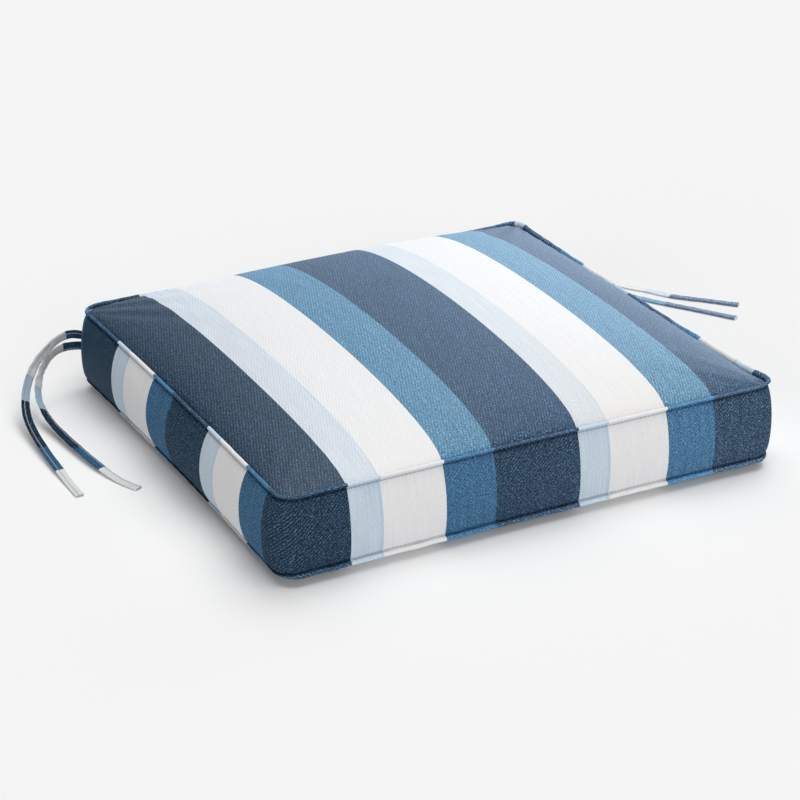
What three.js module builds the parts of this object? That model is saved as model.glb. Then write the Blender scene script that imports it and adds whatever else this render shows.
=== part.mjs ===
// A square box-edge chair cushion with a welted seam round its top and its bottom,
// and a pair of flat ties at each back corner.
// Millimetres, +Z up. The origin is on the floor under the middle. The front faces -Y.

import * as THREE from 'three';
import { mergeVertices } from 'three/addons/utils/BufferGeometryUtils.js';

// Driving dimensions of the filled shell
const TOP_SEAM = { width: 504, depth: 512, height: 86 };
const LOW_SEAM = { width: 514, depth: 516, height: 12 };
const SEAM_CORNER_RADIUS = 17;
const SEAM_DRAW_IN = 3;
const BAND_BULGE_AT_SIDES = 9;
const BAND_BULGE_AT_FRONT = 5;
const BAND_FULLNESS = 0.5;
const CORNER_BULGE_LOSS = 0.4;
const CORNER_BULGE_POWER = 24;
const CROWN_RISE = 40.5;
const CROWN_FULLNESS = 0.51;
const CROWN_LEAN = { right: 0.14, back: 0.09 };
const UNDERSIDE_DROP = 30;

// How far each corner of the top seam sticks out and stands up, as the filling pushes it
const CORNER_EARS = [
  { x: 1, y: -1, out: 5, lift: 3 },
  { x: 1, y: 1, out: 5, lift: 0 },
  { x: -1, y: 1, out: 0, lift: -1.5 },
];
const CORNER_EAR_POWER = 14;

// Driving dimensions of the welts and ties
const WELT_RADIUS = 2.1;
const WELT_TILT = THREE.MathUtils.degToRad(32);
const WELT_GAP = 0.4;
const TIE_WIDTH = 9.5;
const TIE_THICKNESS = 2;
const TIE_LEAD = 4;
const TIE_ROOT_GAP = 0.9;

// Mesh fineness
const PANEL_CELLS = 32;
const BAND_CELLS = 8;
const WELT_SIDES = 8;
const TIE_STEPS = 30;

const RIM_SIDES = 4;
const UP = new THREE.Vector3(0, 0, 1);

// Where the ties leave the back corners, and their routes from there, chosen point by point.
// Each route ends on the floor, where the tie's middle lies a little over half its thickness up.
// flatFrom is how far along the tie its width, upright at the root, has come to lie flat.
const TIES = [
  {
    name: 'tie_left_upper',
    side: -1,
    rootHeight: 57.5,
    flatFrom: 165,
    route: [
      [-264, 257, 60], [-273, 254, 61.5], [-285, 248.5, 60], [-298.5, 241, 55.5],
      [-311.5, 234.5, 47.5], [-322.5, 226, 37.5], [-331, 215, 28], [-338, 199, 20],
      [-343, 179, 14], [-346, 153, 10], [-348, 116, 7], [-349, 66, 4], [-349, 38, 2],
      [-349, 9, 1.4],
    ],
  },
  {
    name: 'tie_left_lower',
    side: -1,
    rootHeight: 45.5,
    flatFrom: 170,
    route: [
      [-264, 258.5, 46.5], [-275, 257, 47.5], [-290.5, 249, 46], [-302, 240, 41],
      [-311, 229.5, 34.5], [-318, 217.5, 27.5], [-322.5, 203, 20.5], [-323.5, 186, 14],
      [-323, 167, 9.5], [-321, 137, 7], [-318, 100, 6], [-312, 52, 4], [-305, 22, 1.8],
      [-295, -4, 1.4],
    ],
  },
  {
    name: 'tie_right_upper',
    side: 1,
    rootHeight: 57.5,
    flatFrom: 115,
    route: [
      [266, 265, 56], [278, 271.5, 50], [291, 276, 41], [305, 277.5, 30.5], [318, 276.5, 21],
      [331, 273.5, 12.5], [343.5, 268, 6.5], [355, 258.5, 3.4], [363, 246, 2.2],
      [370, 227, 1.6], [378, 211.5, 1.4], [387, 199, 1.4], [404, 168, 1.4], [417, 152, 1.4],
      [430, 138, 1.4], [456, 107, 1.4],
    ],
  },
  {
    name: 'tie_right_lower',
    side: 1,
    rootHeight: 45.5,
    flatFrom: 125,
    route: [
      [266, 262.5, 44.5], [279, 267, 40], [293, 269, 33], [307, 269, 25], [321, 267, 17],
      [334.5, 261, 10.8], [345.5, 249, 6.5], [352.5, 231, 4], [357.5, 210, 2.4],
      [364, 189.5, 1.6], [375, 170.5, 1.4], [386, 151.5, 1.4], [409, 114.7, 1.4],
      [432.5, 75, 1.4],
    ],
  },
];

// Spreads the grid so that its cells are smallest beside the seams.
function eased(coordinate) {
  return Math.sin((Math.PI / 2) * coordinate);
}

// A panel point in units of the half panel, with the panel's corners rounded.
function panelPlace(u, v) {
  const x = eased(u);
  const y = eased(v);
  const start = 1 - (2 * SEAM_CORNER_RADIUS) / TOP_SEAM.width;
  const overX = Math.abs(x) - start;
  const overY = Math.abs(y) - start;
  if (overX <= 0 || overY <= 0) {
    return new THREE.Vector2(x, y);
  }
  const pull = Math.max(overX, overY) / Math.hypot(overX, overY);
  return new THREE.Vector2(Math.sign(x) * (start + overX * pull), Math.sign(y) * (start + overY * pull));
}

// Outward direction in plan at a point of the rim.
function rimNormal(u, v) {
  const place = panelPlace(u, v);
  const start = 1 - (2 * SEAM_CORNER_RADIUS) / TOP_SEAM.width;
  return new THREE.Vector2(
    Math.sign(place.x) * Math.max(Math.abs(place.x) - start, 0),
    Math.sign(place.y) * Math.max(Math.abs(place.y) - start, 0),
  ).normalize();
}

// Point of a panel that lies flat at its seam's height, with the seam drawn in midway.
function panelPoint(u, v, seam) {
  const place = panelPlace(u, v);
  return new THREE.Vector3(
    place.x * (seam.width / 2 - SEAM_DRAW_IN * (1 - place.y ** 2)),
    place.y * (seam.depth / 2 - SEAM_DRAW_IN * (1 - place.x ** 2)),
    seam.height,
  );
}

// How close to a corner a panel point lies: 1 at the corner and near 0 away from it.
function cornerness(u, v, power) {
  const place = panelPlace(u, v);
  return Math.min(Math.abs(place.x), Math.abs(place.y)) ** power;
}

// What the ear at the nearest corner adds to a point of the top seam or panel.
function earShift(u, v) {
  const ear = CORNER_EARS.find(({ x, y }) => x * u > 0 && y * v > 0);
  if (!ear) {
    return new THREE.Vector3();
  }
  const share = cornerness(u, v, CORNER_EAR_POWER);
  return new THREE.Vector3(ear.x * ear.out, ear.y * ear.out, ear.lift).multiplyScalar(share);
}

// How full the filling is at a panel point: 1 in the middle and 0 along the seam.
function fullness(u, v) {
  const room = (1 - eased(u) ** 2) * (1 - eased(v) ** 2);
  return Math.max(room, 0) ** CROWN_FULLNESS;
}

// How far the band stands out of the line between its seams, for a height of -1 to 1.
function bandBulge(u, v, height) {
  const normal = rimNormal(u, v);
  const most = BAND_BULGE_AT_SIDES * normal.x ** 2 + BAND_BULGE_AT_FRONT * normal.y ** 2;
  const kept = 1 - CORNER_BULGE_LOSS * cornerness(u, v, CORNER_BULGE_POWER);
  return most * kept * Math.max(Math.cos((Math.PI / 2) * height), 0) ** BAND_FULLNESS;
}

// Point of the boxing band, for a rim point and a height of -1 at the low seam to 1 at the top.
function bandPoint(u, v, height) {
  const topShare = (1 + height) / 2;
  const top = panelPoint(u, v, TOP_SEAM).add(earShift(u, v));
  const point = panelPoint(u, v, LOW_SEAM).lerp(top, topShare);
  const bulge = rimNormal(u, v).multiplyScalar(bandBulge(u, v, height));
  return point.add(new THREE.Vector3(bulge.x, bulge.y, 0));
}

// Point of the shell for a point of the cube from -1 to 1: its top, underside or band.
function shellPoint(cube) {
  if (Math.abs(cube.x) === 1 || Math.abs(cube.y) === 1) {
    return bandPoint(cube.x, cube.y, cube.z);
  }
  if (cube.z > 0) {
    const point = panelPoint(cube.x, cube.y, TOP_SEAM).add(earShift(cube.x, cube.y));
    const lean = 1 + CROWN_LEAN.right * eased(cube.x) + CROWN_LEAN.back * eased(cube.y);
    point.z += CROWN_RISE * lean * fullness(cube.x, cube.y);
    return point;
  }
  const point = panelPoint(cube.x, cube.y, LOW_SEAM);
  point.z = Math.max(point.z - UNDERSIDE_DROP * fullness(cube.x, cube.y), 0);
  return point;
}

function makeShellGeometry() {
  const box = new THREE.BoxGeometry(2, 2, 2, PANEL_CELLS, PANEL_CELLS, BAND_CELLS);
  box.deleteAttribute('normal');
  box.deleteAttribute('uv');
  const shell = mergeVertices(box);
  const positions = shell.getAttribute('position');
  const cube = new THREE.Vector3();
  for (let i = 0; i < positions.count; i += 1) {
    cube.fromBufferAttribute(positions, i);
    const point = shellPoint(cube);
    positions.setXYZ(i, point.x, point.y, point.z);
  }
  shell.computeVertexNormals();
  return shell;
}

// The closed line along a welt's middle, one station for each cell of the shell's rim.
class WeltLoop extends THREE.Curve {
  constructor(seamEnd) {
    super();
    this.seamEnd = seamEnd;
  }

  getUtoTmapping(u) {
    return u;
  }

  getPoint(t) {
    const place = (t % 1) * RIM_SIDES;
    const side = Math.floor(place);
    const along = 2 * (place - side) - 1;
    const [u, v] = [[along, -1], [1, along], [-along, 1], [-1, -along]][side];
    const seam = bandPoint(u, v, this.seamEnd);
    const normal = rimNormal(u, v);
    const reach = WELT_RADIUS + WELT_GAP;
    return new THREE.Vector3(
      seam.x + normal.x * reach * Math.cos(WELT_TILT),
      seam.y + normal.y * reach * Math.cos(WELT_TILT),
      seam.z + this.seamEnd * reach * Math.sin(WELT_TILT),
    );
  }
}

function makeWeltGeometry(seamEnd) {
  const stations = RIM_SIDES * PANEL_CELLS;
  return new THREE.TubeGeometry(new WeltLoop(seamEnd), stations, WELT_RADIUS, WELT_SIDES, true);
}

// A strap's route. Its width stands upright at the root and lies flat from flatFrom on.
class TieRoute extends THREE.CatmullRomCurve3 {
  constructor(points, side, flatFrom) {
    super(points, false, 'centripetal');
    this.side = side;
    this.flatFrom = flatFrom;
  }

  computeFrenetFrames(steps) {
    const frames = { tangents: [], normals: [], binormals: [] };
    const flatShare = this.flatFrom / this.getLength();
    for (let i = 0; i <= steps; i += 1) {
      const along = i / steps;
      const tangent = this.getTangentAt(along);
      const level = new THREE.Vector3().crossVectors(tangent, UP).normalize();
      const upright = new THREE.Vector3().crossVectors(level, tangent);
      const turn = (Math.PI / 2) * THREE.MathUtils.smoothstep(along, 0, flatShare);
      const width = upright.multiplyScalar(Math.cos(turn));
      width.addScaledVector(level, -this.side * Math.sin(turn));
      frames.tangents.push(tangent);
      frames.normals.push(width);
      frames.binormals.push(new THREE.Vector3().crossVectors(tangent, width));
    }
    return frames;
  }
}

// The strap's section: a flat bar with its four corners cut, width along X.
function makeTieSection() {
  const halfWidth = TIE_WIDTH / 2;
  const halfThickness = TIE_THICKNESS / 2;
  const cut = TIE_THICKNESS / 4;
  return new THREE.Shape([
    new THREE.Vector2(halfWidth, -cut),
    new THREE.Vector2(halfWidth, cut),
    new THREE.Vector2(halfWidth - cut, halfThickness),
    new THREE.Vector2(cut - halfWidth, halfThickness),
    new THREE.Vector2(-halfWidth, cut),
    new THREE.Vector2(-halfWidth, -cut),
    new THREE.Vector2(cut - halfWidth, -halfThickness),
    new THREE.Vector2(halfWidth - cut, -halfThickness),
  ]);
}

// Point on a tie's middle line, straight out from the band at a back corner.
function tieRoot(side, rootHeight, reach) {
  const height = THREE.MathUtils.mapLinear(rootHeight, LOW_SEAM.height, TOP_SEAM.height, -1, 1);
  const corner = bandPoint(side, 1, height);
  const outward = rimNormal(side, 1);
  corner.x += outward.x * reach;
  corner.y += outward.y * reach;
  return corner;
}

function makeTieGeometry(tie) {
  const points = [
    tieRoot(tie.side, tie.rootHeight, TIE_ROOT_GAP),
    tieRoot(tie.side, tie.rootHeight, TIE_LEAD),
    ...tie.route.map(([x, y, z]) => new THREE.Vector3(x, y, z)),
  ];
  return new THREE.ExtrudeGeometry(makeTieSection(), {
    steps: TIE_STEPS,
    extrudePath: new TieRoute(points, tie.side, tie.flatFrom),
  });
}

function makeMesh(name, geometry, colour) {
  const material = new THREE.MeshStandardMaterial({ color: colour, roughness: 0.9, metalness: 0 });
  const mesh = new THREE.Mesh(geometry, material);
  mesh.name = name;
  return mesh;
}

function makeCushion() {
  const group = new THREE.Group();
  group.add(makeMesh('cushion', makeShellGeometry(), 0x5f7894));
  group.add(makeMesh('welt_top', makeWeltGeometry(1), 0x33445c));
  group.add(makeMesh('welt_bottom', makeWeltGeometry(-1), 0x33445c));
  for (const tie of TIES) {
    group.add(makeMesh(tie.name, makeTieGeometry(tie), 0x8fb4cf));
  }
  return group;
}

export default makeCushion();
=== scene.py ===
"""A square box-edge chair cushion in striped canvas, with welted seams and two pairs of ties.

Everything is in metres, +Z up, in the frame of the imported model. The front faces -Y.
"""

from __future__ import annotations

import logging
import math
from dataclasses import dataclass, field, replace
from enum import Enum
from typing import Any, Callable, Sequence

import bmesh
import bpy
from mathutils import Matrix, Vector, noise


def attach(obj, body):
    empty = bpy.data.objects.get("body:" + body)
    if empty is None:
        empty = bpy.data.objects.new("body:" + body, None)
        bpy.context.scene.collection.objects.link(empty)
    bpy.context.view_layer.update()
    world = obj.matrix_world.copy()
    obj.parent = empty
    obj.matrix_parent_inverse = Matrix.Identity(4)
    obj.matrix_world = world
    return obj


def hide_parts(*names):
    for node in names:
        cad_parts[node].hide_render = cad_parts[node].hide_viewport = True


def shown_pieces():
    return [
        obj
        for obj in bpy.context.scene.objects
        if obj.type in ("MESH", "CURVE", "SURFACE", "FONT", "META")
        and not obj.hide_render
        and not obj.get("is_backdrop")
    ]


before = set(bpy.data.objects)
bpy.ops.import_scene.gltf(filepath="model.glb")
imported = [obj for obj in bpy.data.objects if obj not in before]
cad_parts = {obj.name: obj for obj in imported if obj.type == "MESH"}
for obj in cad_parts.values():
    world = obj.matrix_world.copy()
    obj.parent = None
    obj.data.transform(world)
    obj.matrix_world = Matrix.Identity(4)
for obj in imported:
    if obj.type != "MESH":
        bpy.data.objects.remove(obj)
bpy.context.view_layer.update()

log = logging.getLogger("cushion")

Colour = tuple[float, float, float, float]
Pair = tuple[float, float]
UP = Vector((0.0, 0.0, 1.0))
WHITE = (1.0, 1.0, 1.0, 1.0)

# The UV maps that the finishes read, both in metres
CLOTH_MAP = "cloth"
SEAM_MAP = "seam"

# Points closer than this are one point
SAME_PLACE = 1e-6


def linear(red: int, green: int, blue: int) -> Colour:
    """Turns a screen colour into the linear values that a shader takes.

    Args:
        red: Red from 0 to 255.
        green: Green from 0 to 255.
        blue: Blue from 0 to 255.

    Returns:
        The linear colour, fully opaque.
    """

    def channel(value: int) -> float:
        """Gives one channel's linear value."""
        share = value / 255
        return share / 12.92 if share <= 0.04045 else ((share + 0.055) / 1.055) ** 2.4

    return (channel(red), channel(green), channel(blue), 1.0)


def smooth_step(value: float, start: float, end: float) -> float:
    """Rises smoothly from 0 at start to 1 at end.

    Args:
        value: Where to read the step.
        start: Value at which the step begins.
        end: Value at which it has risen.

    Returns:
        The step's height from 0 to 1.
    """
    share = min(max((value - start) / (end - start), 0.0), 1.0)
    return share * share * (3 - 2 * share)


# Shader maths


class Blend(Enum):
    """How a second colour joins a first one."""

    COVER = "MIX"
    TINT = "MULTIPLY"


class Layer(Enum):
    """Heights in the noise that are far enough apart to have nothing in common."""

    WARP = 0.0
    WEFT = 3.0
    SLUB = 7.0
    LINE = 11.0
    TUCK = 13.0


class Signal:
    """One output socket of a material, with arithmetic that adds Math nodes."""

    def __init__(self, board: Board, socket: bpy.types.NodeSocket) -> None:
        """Keeps the socket and the board that it is on."""
        self.board = board
        self.socket = socket

    def maths(self, operation: str, *others: Signal | float) -> Signal:
        """Adds one Math node.

        Args:
            operation: The node's operation.
            *others: Its second and third values.

        Returns:
            The node's result.
        """
        values = dict(enumerate((self, *others)))
        return self.board.signal("ShaderNodeMath", {"operation": operation}, values)

    def __add__(self, other: Signal | float) -> Signal:
        """Adds."""
        return self.maths("ADD", other)

    def __radd__(self, other: float) -> Signal:
        """Adds to a number."""
        return self.maths("ADD", other)

    def __sub__(self, other: Signal | float) -> Signal:
        """Subtracts."""
        return self.maths("SUBTRACT", other)

    def __rsub__(self, other: float) -> Signal:
        """Subtracts from a number."""
        return self.maths("MULTIPLY_ADD", -1.0, other)

    def __mul__(self, other: Signal | float) -> Signal:
        """Multiplies."""
        return self.maths("MULTIPLY", other)

    def __rmul__(self, other: float) -> Signal:
        """Multiplies a number."""
        return self.maths("MULTIPLY", other)

    def __truediv__(self, other: Signal | float) -> Signal:
        """Divides."""
        return self.maths("DIVIDE", other)

    def step(self, start: float, end: float) -> Signal:
        """Rises smoothly from 0 at start to 1 at end."""
        settings = {"interpolation_type": "SMOOTHSTEP"}
        return self.board.signal("ShaderNodeMapRange", settings, {0: self, 1: start, 2: end})


class Board:
    """The nodes of one material."""

    def __init__(self, name: str) -> None:
        """Makes an empty material."""
        self.material = bpy.data.materials.new(name)
        self.material.use_nodes = True
        self.tree = self.material.node_tree
        self.tree.nodes.clear()

    def node(
        self,
        kind: str,
        settings: dict[str, Any] | None = None,
        inputs: dict[int | str, Any] | None = None,
    ) -> bpy.types.Node:
        """Adds a node, sets it and then feeds its sockets.

        Args:
            kind: The node's type.
            settings: Its properties, and a colour ramp's stops under "stops".
            inputs: Values, or signals to link, by socket name or number.

        Returns:
            The node.
        """
        made = self.tree.nodes.new(kind)
        for name, value in (settings or {}).items():
            if name == "stops":
                self._set_stops(made, value)
            else:
                setattr(made, name, value)
        for name, value in (inputs or {}).items():
            if isinstance(value, Signal):
                self.tree.links.new(value.socket, made.inputs[name])
            else:
                made.inputs[name].default_value = value
        return made

    def _set_stops(self, made: bpy.types.Node, stops: Sequence[tuple[float, Colour]]) -> None:
        """Gives a hard-edged colour ramp its stops."""
        ramp = made.color_ramp
        ramp.interpolation = "CONSTANT"
        while len(ramp.elements) < len(stops):
            ramp.elements.new(0.5)
        for element, (place, colour) in zip(ramp.elements, stops):
            element.position = place
            element.color = colour

    def signal(
        self,
        kind: str,
        settings: dict[str, Any] | None = None,
        inputs: dict[int | str, Any] | None = None,
        output: int | str = 0,
    ) -> Signal:
        """Adds a node and gives one of its outputs.

        Args:
            kind: The node's type.
            settings: Its properties.
            inputs: Values, or signals to link, by socket name or number.
            output: The output's name or number.

        Returns:
            That output as a signal.
        """
        return Signal(self, self.node(kind, settings, inputs).outputs[output])

    def vector(self, x: Signal | float, y: Signal | float, z: Signal | float) -> Signal:
        """Joins three numbers into a vector."""
        return self.signal("ShaderNodeCombineXYZ", None, {0: x, 1: y, 2: z})

    def parts(self, vector: Signal) -> tuple[Signal, Signal, Signal]:
        """Splits a vector into its three numbers."""
        made = self.node("ShaderNodeSeparateXYZ", None, {0: vector})
        x, y, z = (Signal(self, made.outputs[i]) for i in range(3))
        return x, y, z

    def uneven(
        self,
        layer: Layer,
        x: Signal | float,
        y: Signal | float,
        scale: float = 1.0,
        detail: float = 2.0,
    ) -> Signal:
        """Reads smooth noise, 0 on average.

        Args:
            layer: Which of the unlike layers of the noise.
            x: Place in the layer.
            y: The same across.
            scale: How many grains a unit of the place holds.
            detail: How many finer rounds are added.

        Returns:
            The noise, from -0.5 to 0.5.
        """
        settings = {"noise_dimensions": "3D", "normalize": True}
        spot = self.vector(x, y, layer.value)
        inputs = {"Vector": spot, "Scale": scale, "Detail": detail, "Roughness": 0.55}
        return self.signal("ShaderNodeTexNoise", settings, inputs) - 0.5

    def blend(
        self,
        share: Signal | float,
        first: Signal | Colour,
        second: Signal | Colour,
        way: Blend = Blend.COVER,
    ) -> Signal:
        """Mixes two colours.

        Args:
            share: How much of the second colour there is.
            first: The first colour.
            second: The second colour.
            way: How it joins the first.

        Returns:
            The mixed colour.
        """
        settings = {"data_type": "RGBA", "blend_type": way.value, "clamp_result": False}
        return self.signal("ShaderNodeMix", settings, {0: share, 6: first, 7: second}, 2)

    def grey(self, value: Signal) -> Signal:
        """Makes a grey of one number, for use as a colour."""
        return self.signal("ShaderNodeCombineColor", None, {0: value, 1: value, 2: value})

    def finish(self, surface: dict[str, Any]) -> bpy.types.Material:
        """Ends the material in a Principled surface.

        Args:
            surface: The surface's values and signals by socket name.

        Returns:
            The material.
        """
        shader = self.signal("ShaderNodeBsdfPrincipled", None, surface)
        self.node("ShaderNodeOutputMaterial", None, {"Surface": shader})
        return self.material


# Finishes


@dataclass(frozen=True)
class Stripe:
    """One stripe of the awning pattern, with its colours at both ends of the painted light ramp.

    heather is how mottled its yarns are, from 0 to 1.
    """

    width: float
    ramp_start_colour: Colour
    ramp_end_colour: Colour
    heather: float


def awning(
    navy: Sequence[Colour],
    light_blue: Sequence[Colour],
    white: Sequence[Colour],
    mid_blue: Sequence[Colour],
    edge_tint: Colour = (0.87, 0.92, 0.98, 1.0),
) -> tuple[Stripe, ...]:
    """Lists the stripes of one repeat.

    Args:
        navy: Its colours at the start and the end of the painted light ramp.
        light_blue: The same.
        white: The same.
        mid_blue: The same.
        edge_tint: What the light blue's last yarns, beside the white, are multiplied by.

    Returns:
        The stripes in order.
    """
    edge = [tuple(part * tint for part, tint in zip(colour, edge_tint)) for colour in light_blue]
    return (
        Stripe(0.0870, *navy, heather=1.0),
        Stripe(0.0296, *light_blue, heather=0.09),
        Stripe(0.0030, *edge, heather=0.09),
        Stripe(0.0629, *white, heather=0.04),
        Stripe(0.0514, *mid_blue, heather=0.60),
    )


@dataclass(frozen=True)
class Weave:
    """How uneven the yarns look.

    Grains are specks, slubs thicker stretches, and lines long yarns of another shade. A
    contrast is how strongly they darken and lighten a fully heathered stripe. Flecks of undyed
    fibre show in the lightest grains. A stripe's edge wanders by up to half of edge_wander.
    """

    grain: float = 0.00095
    grain_stretch: float = 2.4
    grain_contrast: float = 4.1
    slub: float = 0.006
    slub_contrast: float = 0.8
    twill_pitch: float = 0.0027
    twill_slope: float = 0.9
    twill_contrast: float = 0.32
    twill_relief: float = 0.25
    line_width: float = 0.0012
    line_length: float = 0.05
    line_contrast: float = 2.4
    most_line_contrast: float = 0.6
    edge_wander: float = 0.0006
    edge_wander_scale: float = 900.0
    fleck: Colour = linear(158, 168, 180)
    fleck_share: float = 0.24
    fleck_full_at: float = 1.9

    def wander(self, board: Board, along: Signal) -> Signal:
        """Gives how far the stripes' edges wander off their line."""
        noise_along = board.uneven(Layer.WARP, along, 0.0, self.edge_wander_scale, 1.0)
        return noise_along * self.edge_wander

    def grains(self, board: Board, across: Signal, along: Signal) -> tuple[Signal, Signal]:
        """Gives the short yarns' unevenness, 0 on average, and their relief."""
        stretched = self.grain * self.grain_stretch
        warp = board.uneven(Layer.WARP, across / self.grain, along / stretched)
        weft = board.uneven(Layer.WEFT, across / stretched, along / self.grain)
        slub = board.uneven(Layer.SLUB, across / self.slub, along / self.slub)
        turn = 2 * math.pi / (self.twill_pitch * math.hypot(1.0, self.twill_slope))
        twill = ((across * self.twill_slope - along) * turn).maths("SINE")
        uneven = (warp + weft) * self.grain_contrast + slub * self.slub_contrast
        return uneven + twill * self.twill_contrast, warp + weft + twill * self.twill_relief

    def dye(
        self, board: Board, colour: Signal, heather: Signal, uneven: Signal, place: Sequence[Signal]
    ) -> Signal:
        """Mottles a colour.

        Args:
            board: The material's nodes.
            colour: The stripe's even colour.
            heather: How mottled the stripe is, from 0 to 1.
            uneven: The short yarns' unevenness.
            place: The places across and along the stripes.

        Returns:
            The yarns' colour.
        """
        across, along = place
        lines = board.uneven(
            Layer.LINE, across / self.line_width, along / self.line_length, detail=0.0
        )
        line_contrast = (heather * self.line_contrast).maths("MINIMUM", self.most_line_contrast)
        shade = (uneven * heather + lines * line_contrast).maths("EXPONENT")
        colour = board.blend(1.0, colour, board.grey(shade), Blend.TINT)
        flecks = uneven.step(0.0, self.fleck_full_at) * heather * self.fleck_share
        return board.blend(flecks, colour, self.fleck)


@dataclass(frozen=True)
class Sewing:
    """What sewing does to the cloth beside a seam.

    Shade is painted beside a seam: the cloth is darkened out to that distance from it, where
    the fold lies in shade. A highlight is painted on a welt towards its top, which is at that
    height up the ridge, where the ridge catches the light. The cloth is stitched at the
    distance that stitched_at gives, and gathered in small tucks there. Where the stitches tint
    the cloth they are painted shade of the dimples that they pull in; where they cover it they
    are the thread's own colour. An edge or a gap is a pair: how far out the stitch row, the
    tucks or one stitch start to go, and how far out they are gone. The stitch's gap is in
    shares of the pitch.
    """

    crease_shade: float = 0.0
    crease_shade_tint: Colour = (0.30, 0.33, 0.37, 1.0)
    crease_shade_on_plain: float = 0.16
    crease_shade_on_heather: float = 0.8
    crest_highlight: float = 0.0
    crest_highlight_tint: Colour = (2.1, 2.1, 2.1, 1.0)
    crest_highlight_start: float = 0.6
    crest_highlight_share: float = 0.8
    stitched_at: float | None = None
    stitch_pitch: float = 0.0042
    stitch_gap: Pair = (0.28, 0.42)
    between_stitches: float = 0.45
    stitch_depth: float = 0.5
    # By default the stitches tint the cloth: painted shade of the dimples that they pull in
    thread_and_dimple_shade: Colour = (0.60, 0.64, 0.71, 1.0)
    stitch_mark_way: Blend = Blend.TINT
    thread_edge: Pair = (0.0003, 0.0008)
    tuck_length: float = 0.03
    tuck_edge: Pair = (0.002, 0.018)
    tuck_relief: float = 4.5

    def sew(
        self, board: Board, colour: Signal, heather: Signal, relief: Signal
    ) -> tuple[Signal, Signal]:
        """Adds the seams' marks, painted shade and highlights among them.

        Args:
            board: The material's nodes.
            colour: The cloth's colour.
            heather: How mottled the cloth is.
            relief: Its relief.

        Returns:
            The colour and the relief with the marks.
        """
        seam = board.signal("ShaderNodeUVMap", {"uv_map": SEAM_MAP})
        from_seam, beside, _ = board.parts(seam)
        # Painted shade: the cloth is darkened beside the seam, most on heathered stripes
        if self.crease_shade:
            crease_shaded = board.blend(1.0, colour, self.crease_shade_tint, Blend.TINT)
            most = heather * self.crease_shade_on_heather + self.crease_shade_on_plain
            depth = (1 - from_seam.step(0.0, self.crease_shade)) * most
            colour = board.blend(depth, colour, crease_shaded)
        # Painted highlight: a welt is lightened towards the top of its ridge
        if self.crest_highlight:
            crest_lit = board.blend(1.0, colour, self.crest_highlight_tint, Blend.TINT)
            near_crest_highlight = from_seam.step(self.crest_highlight * self.crest_highlight_start, self.crest_highlight)
            colour = board.blend(near_crest_highlight * heather * self.crest_highlight_share, colour, crest_lit)
        if self.stitched_at is not None:
            off = (from_seam - self.stitched_at).maths("ABSOLUTE")
            stitch = self._stitches(beside, off)
            # Stitch marks: a tint is painted shade of the stitches' dimples, a cover is the
            # thread's own colour
            sewn = board.blend(1.0, colour, self.thread_and_dimple_shade, self.stitch_mark_way)
            colour = board.blend(stitch, colour, sewn)
            tucks = board.uneven(
                Layer.TUCK, beside / self.stitch_pitch, off / self.tuck_length, detail=1.0
            )
            gathered = tucks * (1 - off.step(*self.tuck_edge)) * self.tuck_relief
            relief = relief - stitch * self.stitch_depth + gathered
        return colour, relief

    def _stitches(self, beside: Signal, off: Signal) -> Signal:
        """Gives a row of stitches: 1 in one, less between two, and 0 off the row."""
        row = 1 - off.step(*self.thread_edge)
        share = (beside / self.stitch_pitch).maths("FRACT")
        dash = 1 - (share - 0.5).maths("ABSOLUTE").step(*self.stitch_gap)
        return row * (self.between_stitches + dash * (1 - self.between_stitches))


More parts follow.
